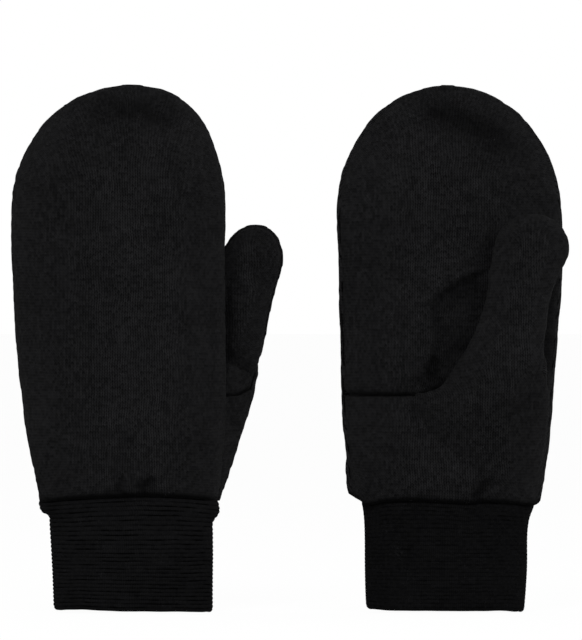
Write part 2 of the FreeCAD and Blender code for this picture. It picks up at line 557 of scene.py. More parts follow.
    def refine(self, bm: bmesh.types.BMesh) -> None:
        """Adds rows of points along the palm seam, so that its groove is crisp."""
        for step in self.rows:
            z = self.palm_z + step
            cut_faces(
                bm,
                lambda c: c.y > self.side_y and abs(c.z - z) < self.row_reach,
                (0, 0, z),
                (0, 0, 1),
                self.row_snap,
            )


@dataclass(frozen=True)
class Placement:
    """Where a mitten stands in the model, and which way its palm faces."""

    side: Side
    middle_x: float
    curl: Vector
    knuckle_span: Span = (-0.013, 0.015)
    root_span: Span = (0.084, 0.112)
    root_lean: float = 50.0

    @classmethod
    def read(cls, frame: dict, side: Side) -> Placement:
        """Reads a mitten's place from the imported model.

        Args:
            side: The mitten asked about.

        Returns:
            Its placement.
        """
        opening = [mount for mount in frame["record"]["mounts"] if mount["name"] == f"{side.value}_wrist_opening"]
        curl = [joint for joint in frame["joints"] if joint["name"] == f"{side.value}_finger_curl"]
        return cls(side, opening[0]["pos_m"][0], Vector(curl[0]["pos_m"]))

    @property
    def facing(self) -> float:
        """1 where the palm faces +Y in the model, -1 where it faces -Y."""
        return 1.0 if self.side is Side.LEFT else -1.0

    def name(self, part: str) -> str:
        """Full name of one of the mitten's bodies, nodes or pieces."""
        return f"{self.side.value}_{part}"

    def settle(self, bm: bmesh.types.BMesh) -> None:
        """Moves a mesh from the mitten's own frame, in metres, to the model's."""
        bmesh.ops.scale(bm, verts=bm.verts, vec=(1.0, self.facing, 1.0))
        bmesh.ops.translate(bm, verts=bm.verts, vec=(self.middle_x, 0.0, 0.0))
        if self.facing < 0:
            bmesh.ops.reverse_faces(bm, faces=bm.faces)

    def ride(self, bm: bmesh.types.BMesh, name: str, finish: ClothFinish, slot: str, node: str) -> None:
        """Makes a dressed piece of a mesh in the mitten's own frame and lets it ride on the hand.

        Args:
            bm: The mesh; it is freed.
            name: Of the piece, without the side.
            finish: Its cloth.
            slot: Not used. The record's material slot.
            node: CAD node that it replaces, without the side.
        """
        self.settle(bm)
        obj = make_object(self.name(name), bm)
        finish_piece(obj, finish, [self.name(node)])
        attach(obj, self.name("hand"))

    def bend(self, obj: bpy.types.Object, panel: Panel) -> None:
        """Bakes a finished cloth piece's place into its mesh; it is not made to follow any body.

        Args:
            obj: The piece.
            panel: Which panel it is.
        """
        if panel in (Panel.BACK, Panel.UPPER_PALM):
            self.name("hand")
            self.name("fingertips")
            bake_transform(obj)
            return
        self.name("hand")
        self.name("thumb")
        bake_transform(obj)


class Wiring:
    """Adds nodes to a shader tree and joins them."""

    def __init__(self, tree: bpy.types.NodeTree) -> None:
        """Starts on an empty tree."""
        self.tree = tree
        tree.nodes.clear()

    def node(self, kind: str, inputs: dict | None = None, **settings: object) -> bpy.types.Node:
        """Adds a node.

        Args:
            kind: Its type name.
            inputs: A value or an output socket for each input, by name or index.
            **settings: Properties of the node.

        Returns:
            The node.
        """
        node = self.tree.nodes.new(kind)
        for name, value in settings.items():
            setattr(node, name, value)
        for key, value in (inputs or {}).items():
            if isinstance(value, bpy.types.NodeSocket):
                self.tree.links.new(value, node.inputs[key])
            else:
                node.inputs[key].default_value = value
        return node

    def math(self, operation: str, *values: object) -> bpy.types.NodeSocket:
        """Output of a Math node on values or sockets."""
        node = self.node("ShaderNodeMath", dict(enumerate(values)), operation=operation)
        return node.outputs[0]

    def ramp(self, value: object, *limits: object) -> bpy.types.NodeSocket:
        """Smooth step of a value: from the range of the first two limits to that of the last two, or 0 to 1."""
        inputs = dict(enumerate((value, *limits)))
        return self.node("ShaderNodeMapRange", inputs, interpolation_type="SMOOTHSTEP").outputs[0]

    def noise(self, place: object, scale: float, detail: float = 2.0) -> bpy.types.NodeSocket:
        """Noise at a place, from 0 to 1."""
        inputs = {"Vector": place, "Scale": scale, "Detail": detail, "Roughness": 0.55}
        return self.node("ShaderNodeTexNoise", inputs).outputs["Fac"]


class Shared:
    """Effects that more than one finish uses, each a node group built once."""

    groups: dict[str, bpy.types.NodeTree] = {}

    @classmethod
    def group(cls, name: str, inputs: dict, outputs: tuple, wire: Callable) -> bpy.types.NodeTree:
        """Makes a node group, or returns it where it is made already.

        Args:
            name: Of the group.
            inputs: Each input's name with the default of a number, or None for a vector.
            outputs: Names of the outputs, all plain values.
            wire: Called with the wiring and the input node; returns a socket for each output.

        Returns:
            The node group.
        """
        if name in cls.groups:
            return cls.groups[name]
        tree = bpy.data.node_groups.new(name, "ShaderNodeTree")
        for socket, value in inputs.items():
            kind = "NodeSocketVector" if value is None else "NodeSocketFloat"
            made = tree.interface.new_socket(name=socket, in_out="INPUT", socket_type=kind)
            if value is not None:
                made.default_value = value
        for socket in outputs:
            tree.interface.new_socket(name=socket, in_out="OUTPUT", socket_type="NodeSocketFloat")
        wiring = Wiring(tree)
        source = wiring.node("NodeGroupInput")
        target = wiring.node("NodeGroupOutput")
        for socket, value in zip(outputs, wire(wiring, source.outputs)):
            tree.links.new(value, target.inputs[socket])
        cls.groups[name] = tree
        return tree

    @classmethod
    def stitch(cls) -> bpy.types.NodeTree:
        """Jersey stitches: upright columns of V-shaped loops, from a place on the cloth in metres."""
        bead, leg_roundness, open_from, open_to = 0.17, 0.6, 0.1, 0.75

        def wire(w: Wiring, given: bpy.types.bpy_prop_collection) -> tuple:
            """Height of the yarn, the hollows between loops and a random value for each loop."""
            place = w.node("ShaderNodeSeparateXYZ", {0: given["Cloth"]})
            column = w.math("DIVIDE", place.outputs[0], given["Wale"])
            off = w.math("ABSOLUTE", w.math("SUBTRACT", w.math("FRACT", column), 0.5))
            row = w.math("DIVIDE", place.outputs[1], given["Course"])
            slanted = w.math("ADD", row, w.math("MULTIPLY", off, given["Slant"]))
            leg = w.math("SINE", w.math("MULTIPLY", off, 2 * math.pi))
            wave = w.math("COSINE", w.math("MULTIPLY", slanted, 2 * math.pi))
            beaded = w.math("MULTIPLY_ADD", wave, bead, 1 - bead)
            height = w.math("MULTIPLY", w.math("POWER", leg, leg_roundness), beaded)
            hollow = w.math("SUBTRACT", 1.0, w.ramp(height, open_from, open_to))
            cell = w.node("ShaderNodeCombineXYZ", {0: w.math("FLOOR", column), 1: w.math("FLOOR", slanted)})
            loop = w.node("ShaderNodeTexWhiteNoise", {"Vector": cell.outputs[0]}).outputs["Value"]
            return height, hollow, loop

        inputs = {"Cloth": None, "Wale": 1.6 * MM, "Course": 1.25 * MM, "Slant": 1.1}
        return cls.group("stitch", inputs, ("Height", "Hollow", "Loop"), wire)

    @classmethod
    def ribbing(cls) -> bpy.types.NodeTree:
        """Mask of the hollows between ridges that run across the cloth, stronger in some places than in others, for
        painted shade.
        """
        patch_scale, patch_from, patch_to, shallow, hollow_to = (60.0, 520.0, 1.0), 0.36, 0.66, 0.15, 0.75

        def wire(w: Wiring, given: bpy.types.bpy_prop_collection) -> tuple:
            """The hollows' depth."""
            place = w.node("ShaderNodeSeparateXYZ", {0: given["Cloth"]})
            row = w.math("DIVIDE", place.outputs[1], given["Pitch"])
            ridge = w.math("ABSOLUTE", w.math("SINE", w.math("MULTIPLY", row, math.pi)))
            stretched = w.node("ShaderNodeVectorMath", {0: given["Cloth"], 1: patch_scale}, operation="MULTIPLY")
            depth = w.ramp(w.noise(stretched.outputs[0], 1.0), patch_from, patch_to, shallow, 1.0)
            return (w.math("MULTIPLY", w.math("SUBTRACT", 1.0, w.ramp(ridge, 0.0, hollow_to)), depth),)

        return cls.group("ribbing", {"Cloth": None, "Pitch": 1.92 * MM}, ("Hollow",), wire)

    @classmethod
    def nap(cls) -> bpy.types.NodeTree:
        """Fine fibres standing off the cloth, and stray lighter ones lying on it."""
        fine_scale, bend_scale, bend_size, strand_scale = 2600.0, 900.0, 0.0016, 520.0
        patch_scale, patch_from, patch_to = 160.0, 0.52, 0.68

        def wire(w: Wiring, given: bpy.types.bpy_prop_collection) -> tuple:
            """Height of the fibres and a mask of the stray ones."""
            place = given["Place"]
            fine = w.noise(place, fine_scale, 3.0)
            bent = w.node("ShaderNodeTexNoise", {"Vector": place, "Scale": bend_scale}).outputs["Color"]
            shift = w.node("ShaderNodeVectorMath", {0: bent, "Scale": bend_size}, operation="SCALE").outputs[0]
            moved = w.node("ShaderNodeVectorMath", {0: place, 1: shift}, operation="ADD").outputs[0]
            strand = w.math("ABSOLUTE", w.math("SUBTRACT", w.noise(moved, strand_scale, 1.0), 0.5))
            stray = w.math("SUBTRACT", 1.0, w.ramp(strand, 0.0, given["Fineness"]))
            patch = w.ramp(w.noise(place, patch_scale), patch_from, patch_to)
            return fine, w.math("MULTIPLY", stray, patch)

        return cls.group("nap", {"Place": None, "Fineness": 0.012}, ("Height", "Stray"), wire)

    @classmethod
    def tone(cls) -> bpy.types.NodeTree:
        """Uneven depth of the dye and rubbed places, from 0 to 1, over tens of millimetres."""
        broad_scale, small_scale, broad_share, low, high = 26.0, 170.0, 0.6, 0.25, 0.75

        def wire(w: Wiring, given: bpy.types.bpy_prop_collection) -> tuple:
            """How light the cloth is."""
            broad = w.math("MULTIPLY", w.noise(given["Place"], broad_scale, 3.0), broad_share)
            small = w.math("MULTIPLY", w.noise(given["Place"], small_scale), 1 - broad_share)
            return (w.ramp(w.math("ADD", broad, small), low, high),)

        return cls.group("tone", {"Place": None}, ("Amount",), wire)


Colour = tuple[float, float, float, float]
WHITE: Colour = (1.0, 1.0, 1.0, 1.0)
PALE: Colour = (0.85, 0.85, 0.85, 1.0)


def grey(level: float, blue: float) -> Colour:
    """A dark grey with a touch more blue."""
    return level, level, blue, 1.0


@dataclass(frozen=True)
class ClothFinish:
    """A knitted or brushed cloth: its colours, loops, nap and sheen.

    Wale and course are a stitch's width and height, pitch is the ribs' spacing, and the two depths are the heights
    of loops and nap, in millimetres. Slant is how steep a stitch's legs are. A tone or share says how much an
    effect changes the colour; the two painted shades say how far painted shade darkens the hollows between loops and
    between ribs.
    """

    name: str
    dark: Colour
    light: Colour
    stray: Colour
    wale: float
    course: float
    slant: float
    loop_depth: float
    nap_depth: float
    roughness: float
    specular: float
    sheen: float
    sheen_roughness: float
    loop_tone: float = 0.3
    hollow_painted_shade: float = 0.95
    pitch: float = 0.0
    rib_painted_shade: float = 0.5
    tone_share: float = 0.2
    stray_share: float = 0.5
    roughness_spread: float = 0.06
    wobble_scale: float = 60.0
    wobble_size: float = 0.0022
    loop_strength: float = 0.8
    nap_strength: float = 0.7

    def material(self) -> bpy.types.Material:
        """Builds the material, or returns it where it is made already."""
        if self.name in bpy.data.materials:
            return bpy.data.materials[self.name]
        material = bpy.data.materials.new(self.name)
        material.use_nodes = True
        w = Wiring(material.node_tree)
        place = w.node("ShaderNodeTexCoord").outputs["Object"]
        cloth = w.node("ShaderNodeUVMap", uv_map="cloth").outputs[0]
        wobble = w.math("SUBTRACT", w.noise(place, self.wobble_scale), 0.5)
        ease = w.math("MULTIPLY", wobble, self.wobble_size)
        eased = w.node("ShaderNodeVectorMath", {0: cloth, 1: ease}, operation="ADD").outputs[0]
        sizes = {"Cloth": eased, "Wale": self.wale * MM, "Course": self.course * MM, "Slant": self.slant}
        stitch = w.node("ShaderNodeGroup", sizes, node_tree=Shared.stitch()).outputs
        nap = w.node("ShaderNodeGroup", {"Place": place}, node_tree=Shared.nap()).outputs
        tone = w.node("ShaderNodeGroup", {"Place": place}, node_tree=Shared.tone()).outputs["Amount"]
        # Random loop and dye tone, then painted shade in hollows, ribs, seams and folds, mixed into one factor for the
        # colour.
        tone_and_painted_shade = w.math("MULTIPLY_ADD", stitch["Loop"], self.loop_tone, 0.5 - self.loop_tone / 2)
        tone_and_painted_shade = w.math("MULTIPLY_ADD", tone, self.tone_share, w.math("SUBTRACT", tone_and_painted_shade, self.tone_share / 2))
        # Painted shade in the hollows between loops.
        tone_and_painted_shade = w.math("SUBTRACT", tone_and_painted_shade, w.math("MULTIPLY", stitch["Hollow"], self.hollow_painted_shade))
        # Painted shade in the hollows between ribs.
        if self.pitch:
            ribs = {"Cloth": cloth, "Pitch": self.pitch * MM}
            hollow = w.node("ShaderNodeGroup", ribs, node_tree=Shared.ribbing()).outputs["Hollow"]
            tone_and_painted_shade = w.math("SUBTRACT", tone_and_painted_shade, w.math("MULTIPLY", hollow, self.rib_painted_shade))
        # Painted shade of the seams and folds darkens the colour.
        crease = w.node("ShaderNodeAttribute", attribute_name="crease").outputs["Fac"]
        tone_and_painted_shade = w.math("MINIMUM", w.math("MAXIMUM", tone_and_painted_shade, 0.0), 1.0)
        tone_and_painted_shade = w.math("MULTIPLY", tone_and_painted_shade, w.math("MULTIPLY_ADD", crease, -1.0, 1.0))
        base = w.node("ShaderNodeMix", {"Factor": tone_and_painted_shade, 6: self.dark, 7: self.light}, data_type="RGBA")
        speck = w.math("MULTIPLY", nap["Stray"], self.stray_share)
        colour = w.node("ShaderNodeMix", {"Factor": speck, 6: base.outputs[2], 7: self.stray}, data_type="RGBA")
        normal = None
        for strength, depth, height in (
            (self.loop_strength, self.loop_depth, stitch["Height"]),
            (self.nap_strength, self.nap_depth, nap["Height"]),
        ):
            inputs = {"Strength": strength, "Distance": depth * MM, "Height": height}
            if normal is not None:
                inputs["Normal"] = normal
            normal = w.node("ShaderNodeBump", inputs).outputs[0]
        inputs = {
            "Base Color": colour.outputs[2],
            "Roughness": w.ramp(tone, 0.0, 1.0, self.roughness - self.roughness_spread, self.roughness),
            "Normal": normal,
            "Specular IOR Level": self.specular,
            "Sheen Weight": self.sheen,
            "Sheen Roughness": self.sheen_roughness,
        }
        shader = w.node("ShaderNodeBsdfPrincipled", inputs)
        w.node("ShaderNodeOutputMaterial", {"Surface": shader.outputs[0]})
        return material


JERSEY = ClothFinish(
    name="black_jersey",
    dark=grey(0.0006, 0.00063),
    light=grey(0.0172, 0.0181),
    stray=grey(0.03, 0.032),
    wale=1.55,
    course=1.45,
    slant=1.1,
    loop_depth=0.5,
    nap_depth=0.1,
    roughness=0.92,
    specular=0.008,
    sheen=0.0085,
    sheen_roughness=0.45,
)
RIB = ClothFinish(
    name="black_rib",
    dark=grey(0.0002, 0.0002),
    light=grey(0.0081, 0.0086),
    stray=grey(0.015, 0.016),
    wale=1.5,
    course=0.96,
    slant=0.8,
    loop_depth=0.25,
    nap_depth=0.08,
    roughness=0.9,
    specular=0.0045,
    sheen=0.0038,
    sheen_roughness=0.45,
    loop_tone=0.14,
    hollow_painted_shade=0.1,
    pitch=1.92,
    rib_painted_shade=0.6,
)
SLACK_RIB = replace(RIB, name="black_slack_rib", light=grey(0.0061, 0.0065), rib_painted_shade=0.3, loop_tone=0.2)
FLEECE = ClothFinish(
    name="black_fleece",
    dark=grey(0.006, 0.0065),
    light=grey(0.014, 0.015),
    stray=grey(0.04, 0.042),
    wale=2.6,
    course=2.2,
    slant=0.0,
    loop_depth=0.2,
    nap_depth=0.5,
    roughness=0.96,
    specular=0.03,
    sheen=0.05,
    sheen_roughness=0.6,
)
THREAD = ClothFinish(
    name="black_thread",
    dark=grey(0.004, 0.0043),
    light=grey(0.009, 0.0095),
    stray=grey(0.03, 0.031),
    wale=0.9,
    course=0.5,
    slant=1.6,
    loop_depth=0.25,
    nap_depth=0.05,
    roughness=0.7,
    specular=0.2,
    sheen=0.02,
    sheen_roughness=0.4,
)


def place_mesh(name: str, bm: bmesh.types.BMesh) -> bpy.types.Object:
    """Puts a mesh into the scene as an object.

    Args:
        name: Of the object and its mesh.
        bm: The mesh; it is freed.

    Returns:
        The object.
    """
    mesh = bpy.data.meshes.new(name)
    bm.to_mesh(mesh)
    bm.free()
    obj = bpy.data.objects.new(name, mesh)
    bpy.context.scene.collection.objects.link(obj)
    return obj


def make_object(name: str, bm: bmesh.types.BMesh) -> bpy.types.Object:
    """Makes a scene object of a mesh, with smooth faces and crisp cut edges.

    Args:
        name: Of the object.
        bm: The mesh, in the model's frame; it is freed.

    Returns:
        The object.
    """
    for face in bm.faces:
        face.smooth = True
    for edge in bm.edges:
        edge.smooth = len(edge.link_faces) == 2 and edge.calc_face_angle(0.0) < CRISP_ANGLE
    return place_mesh(name, bm)


def finish_piece(obj: bpy.types.Object, finish: ClothFinish, nodes: list[str]) -> None:
    """Dresses a piece and says which CAD nodes it stands for.

    Args:
        obj: The piece.
        finish: Its cloth.
        nodes: CAD nodes that it replaces.
    """
    obj.data.materials.append(finish.material())
    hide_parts(*nodes)
    LOG.info("%s: %d faces for %s", obj.name, len(obj.data.polygons), ", ".join(nodes))


def unevenness(place: Vector) -> float:
    """Slight waves of cloth at a place in millimetres: broad ones and small ones, about -1 to 1."""
    broad = noise.noise(place * BROAD_WAVES[0]) * BROAD_WAVES[1]
    return broad + noise.noise(place * SMALL_WAVES[0] + Vector((7, 3, 1))) * SMALL_WAVES[1]


def spin_band(profile: list[Span], segments: int, place: Callable, join_angle: float) -> bmesh.types.BMesh:
    """Turns a closed profile once round the upright axis and moves every point to its place.

    Args:
        profile: Inset and height of each point, in millimetres.
        segments: Round the band.
        place: Called with a point's inset, angle and height; returns its place in millimetres.
        join_angle: Past this angle, corners of faces on the -Y side count as lying before the start.

    Returns:
        The band in metres, with its places on the flat cloth.
    """
    bm = bmesh.new()
    verts = [bm.verts.new((SPIN_RADIUS - inset, 0.0, height)) for inset, height in profile]
    edges = [bm.edges.new(pair) for pair in zip(verts, verts[1:] + verts[:1])]
    turn = {"axis": (0, 0, 1), "cent": (0, 0, 0), "dvec": (0, 0, 0), "angle": 2 * math.pi, "steps": segments}
    bmesh.ops.spin(bm, geom=verts + edges, use_merge=True, use_duplicate=False, **turn)
    layer = bm.loops.layers.uv.new("cloth")
    for vert in bm.verts:
        angle, height = math.atan2(vert.co.y, vert.co.x), vert.co.z
        vert.co = place(SPIN_RADIUS - math.hypot(vert.co.x, vert.co.y), angle, height) * MM
        for loop in vert.link_loops:
            spread = angle if loop.face.calc_center_median().y > 0 or angle < join_angle else -angle
            loop[layer].uv = Vector((spread * CLOTH_RADIUS, height)) * MM
    bmesh.ops.recalc_face_normals(bm, faces=bm.faces)
    return bm


@dataclass
class Bag:
    """One layer of a mitten: pocket and thumb as one soft bag, cut into its panels.

    Inset is how far the layer lies inside the mitten's form, cloth is its thickness, and voxel and the grids give
    the mesh's size. Puff is the most that pressure moves a point, ease how much wider than the form the cloth is
    cut, and held_span how far a seam's hold reaches. Depth, the side spans and the thumb's spans say where a panel
    turns round the form, for laying it flat.
    """

    placement: Placement
    pocket: Form
    thumb: Form
    lines: SewingLines
    folds: tuple[Fold, ...]
    finish: ClothFinish
    prefix: str
    slot: str
    inset: float = 0.0
    voxel: float = 2.0
    cloth: float = 1.4
    smoothing: int = 10
    roughness: float = 0.35
    puff: float = 0.0
    pressure: float = 4.0
    ease: float = 0.01
    subdivided: bool = True
    pocket_grid: tuple[int, int] = (112, 84)
    thumb_grid: tuple[int, int] = (72, 66)
    held_span: Span = (0.6, 4.0)
    frames: int = 20
    quality: int = 5
    mass: float = 0.1
    depth: float = 16.0
    side_span: Span = (15.0, 40.0)
    thumb_side_span: Span = (3.0, 14.0)
    thumb_heights: Span = (105.0, 125.0)
    thumb_depths: Span = (17.0, 22.0)

    def evaluated(self, bm: bmesh.types.BMesh, name: str, prepare: Callable) -> bmesh.types.BMesh:
        """The mesh after a modifier.

        Args:
            bm: The mesh; it is freed.
            name: Of the object that carries the modifier for the moment.
            prepare: Called with that object; adds the modifier.

        Returns:
            The changed mesh.
        """
        obj = place_mesh(name, bm)
        mesh = obj.data
        prepare(obj)
        result = bpy.data.meshes.new_from_object(obj.evaluated_get(bpy.context.evaluated_depsgraph_get()))
        changed = bmesh.new()
        changed.from_mesh(result)
        bpy.data.objects.remove(obj)
        bpy.data.meshes.remove(mesh)
        bpy.data.meshes.remove(result)
        return changed

    def even_out(self, bm: bmesh.types.BMesh) -> bmesh.types.BMesh:
        """Joins overlapping forms into one even mesh."""

        def prepare(obj: bpy.types.Object) -> None:
            """Adds the remesh."""
            modifier = obj.modifiers.new("even_out", "REMESH")
            modifier.mode = "VOXEL"
            modifier.voxel_size = self.voxel * MM

        return self.evaluated(bm, "even_out", prepare)

    def solid(self) -> bmesh.types.BMesh:
        """Pocket and thumb as one closed smooth form in the mitten's own frame, in metres."""
        bm = bmesh.new()
        self.pocket.add_to(bm, *self.pocket_grid)
        self.thumb.add_to(bm, *self.thumb_grid)
        bm = self.even_out(bm)
        if self.inset:
            bm.normal_update()
            for vert in bm.verts:
                vert.co -= vert.normal * self.inset * MM
            bm = self.even_out(bm)
        soften(bm, self.smoothing)
        return bm

    def inflate(self, bm: bmesh.types.BMesh) -> bmesh.types.BMesh:
        """Blows the bag up as cloth that its seams hold, each point by no more than puff.

        Args:
            bm: The closed bag; it is freed.

        Returns:
            The same mesh, filled out.
        """
        rest = [vert.co.copy() for vert in bm.verts]
        held = []
        for vert in bm.verts:
            place = vert.co / MM
            gaps = [abs(place.y - self.lines.side_y), abs(place.z - self.lines.cuff_z)]
            if place.y > self.lines.side_y and place.y < self.lines.palm_clear_y:
                gaps.append(abs(place.z - self.lines.palm_z))
            if place.z > self.lines.palm_z and place.y > self.lines.palm_clear_y:
                gaps.append(abs(place.y - self.lines.thumb_middle(place)))
            below = 1.0 if place.z < self.lines.cuff_z else 0.0
            held.append(max(below, 1 - smooth_step(*self.held_span, min(gaps))))

        def prepare(obj: bpy.types.Object) -> None:
            """Adds the cloth and runs it to its last frame."""
            group = obj.vertex_groups.new(name="held")
            for index, weight in enumerate(held):
                group.add([index], weight, "REPLACE")
            cloth = obj.modifiers.new("cloth", "CLOTH")
            cloth.settings.quality = self.quality
            cloth.settings.mass = self.mass
            cloth.settings.use_pressure = True
            cloth.settings.uniform_pressure_force = self.pressure
            cloth.settings.shrink_min = -self.ease
            cloth.settings.effector_weights.gravity = 0.0
            cloth.settings.vertex_group_mass = "held"
            cloth.collision_settings.use_collision = False
            cloth.collision_settings.use_self_collision = False
            cloth.point_cache.frame_start = 1
            cloth.point_cache.frame_end = self.frames
            for frame in range(1, self.frames + 1):
                bpy.context.scene.frame_set(frame)

        bm = self.evaluated(bm, "blown_up", prepare)
        bpy.context.scene.frame_set(1)
        moved, limit = 0.0, self.puff * MM
        for vert, start in zip(bm.verts, rest):
            move = vert.co - start
            if move.length > limit:
                move *= limit / move.length
            vert.co = start + move
            moved = max(moved, move.length)
        LOG.info("%s%s blown up by up to %.2f mm", self.prefix, self.placement.side.value, moved / MM)
        return bm

    def shape(self, bm: bmesh.types.BMesh) -> None:
        """Draws in the seams, lays the folds and the cloth's slight unevenness, and keeps the painted shade of seams
        and folds on each point.
        """
        bm.normal_update()
        painted_shade_layer = bm.verts.layers.float.new("crease")
        moves = []
        for vert in bm.verts:
            place = vert.co / MM
            panel = self.lines.panel(place)
            lifts = [(fold, fold.lift(place, panel)) for fold in self.folds]
            lift = self.lines.lift(place) + sum(height for _, height in lifts)
            moves.append(vert.normal * (lift + unevenness(place) * self.roughness) * MM)
            # Painted shade of seams and folds, kept on the point to darken the cloth's colour.
            dark = 1 - self.lines.crease(place)
            for fold, height in lifts:
                dark *= 1 - fold.crease(height)
            vert[painted_shade_layer] = 1 - dark
        for vert, move in zip(bm.verts, moves):
            vert.co += move
            vert.co.z += (self.lines.cuff_shift(vert.co / MM) + self.lines.palm_shift(vert.co / MM)) * MM

    def cloth_place(self, place: Vector, panel: Panel, turned: bool) -> Vector:
        """Where a place on the mitten lies on the flat cloth of its panel, wales upright.

        Args:
            place: On the surface, in millimetres.
            panel: The panel that it belongs to.
            turned: Whether the cloth faces the back there.

        Returns:
            The place seen square on, spread out by its depth round the form's sides and tip, in millimetres.
        """
        flat = Vector((place.x, place.z))
        lean = math.radians(self.thumb.tilt)
        across, along = Vector((math.cos(lean), -math.sin(lean))), Vector((math.sin(lean), math.cos(lean)))
        foot = flat - Vector(self.thumb.pivot)
        height = foot.dot(along)
        front = curve_at(self.thumb.front, height)
        turned = turned and panel in (Panel.UPPER_PALM, Panel.LOWER_PALM)
        outer = place.x > self.thumb.pivot[0] and (turned or panel is Panel.LOWER_PALM)
        top = max(front, self.depth) if outer else self.depth
        deep = place.y + self.depth if panel is Panel.BACK else top - place.y
        deep = max(deep, 0.0)
        if turned:
            return Vector((deep - place.x, place.z))
        out = Vector((place.x, max(place.z - self.pocket.shoulder, 0.0)))
        spread = out.normalized() * deep * smooth_step(*self.side_span, out.length)
        on_thumb = 1.0 if panel is Panel.THUMB_BACK else 0.0
        if panel is Panel.LOWER_PALM:
            on_thumb = smooth_step(*self.thumb_heights, place.z) * smooth_step(*self.thumb_depths, place.y)
        if on_thumb:
            out = across * foot.dot(across) + along * max(height - self.thumb.shoulder, 0.0)
            deep = place.y - curve_at(self.thumb.back, height) if panel is Panel.THUMB_BACK else front - place.y
            round_thumb = out.normalized() * max(deep, 0.0) * smooth_step(*self.thumb_side_span, out.length)
            spread = spread.lerp(round_thumb, on_thumb)
        return flat + spread

    def lay_flat(self, bm: bmesh.types.BMesh) -> None:
        """Gives every corner of the cut bag its place on the flat cloth, in metres."""
        layer, panels = bm.loops.layers.uv.new("cloth"), bm.faces.layers.int["panel"]
        bm.normal_update()
        bm.verts.index_update()
        known = {}
        for face in bm.faces:
            panel, turned = list(Panel)[face[panels]], face.normal.y < TURNED_AWAY
            for loop in face.loops:
                key = (loop.vert.index, panel, turned)
                if key not in known:
                    known[key] = self.cloth_place(loop.vert.co / MM, panel, turned) * MM
                loop[layer].uv = known[key]

    def panel_mesh(self, whole: bmesh.types.BMesh, panel: Panel) -> bmesh.types.BMesh:
        """One panel, with its thickness, in the model's frame."""
        bm = whole.copy()
        layer = bm.faces.layers.int["panel"]
        others = [face for face in bm.faces if face[layer] != list(Panel).index(panel)]
        bmesh.ops.delete(bm, geom=others, context="FACES")
        bm.normal_update()
        inwards = {tuple(vert.co): vert.normal * self.cloth * MM for vert in bm.verts}
        lining_side = bmesh.ops.extrude_face_region(bm, geom=bm.faces[:], use_keep_orig=True)["geom"]
        for part in lining_side:
            if isinstance(part, bmesh.types.BMVert):
                part.co -= inwards[tuple(part.co)]
        bmesh.ops.recalc_face_normals(bm, faces=bm.faces)
        self.placement.settle(bm)
        return bm

    def build(self) -> None:
        """Builds every panel of this layer, dressed."""
        bm = self.solid()
        if self.puff:
            bm = self.inflate(bm)
        self.lines.cut(bm)
        if self.subdivided:
            bmesh.ops.subdivide_edges(bm, edges=bm.edges, cuts=1, use_grid_fill=True, smooth=0.0)
            soften(bm, 2)
        self.lines.refine(bm)
        self.lay_flat(bm)
        self.shape(bm)
        for panel in Panel:
            name = self.placement.name(f"{self.prefix}{panel.value}_panel")
            obj = make_object(name, self.panel_mesh(bm, panel))
            nodes = [self.placement.name(self.prefix + node) for node in PANEL_NODES[panel]]
            finish_piece(obj, self.finish, nodes)
            self.placement.bend(obj, panel)
        bm.free()


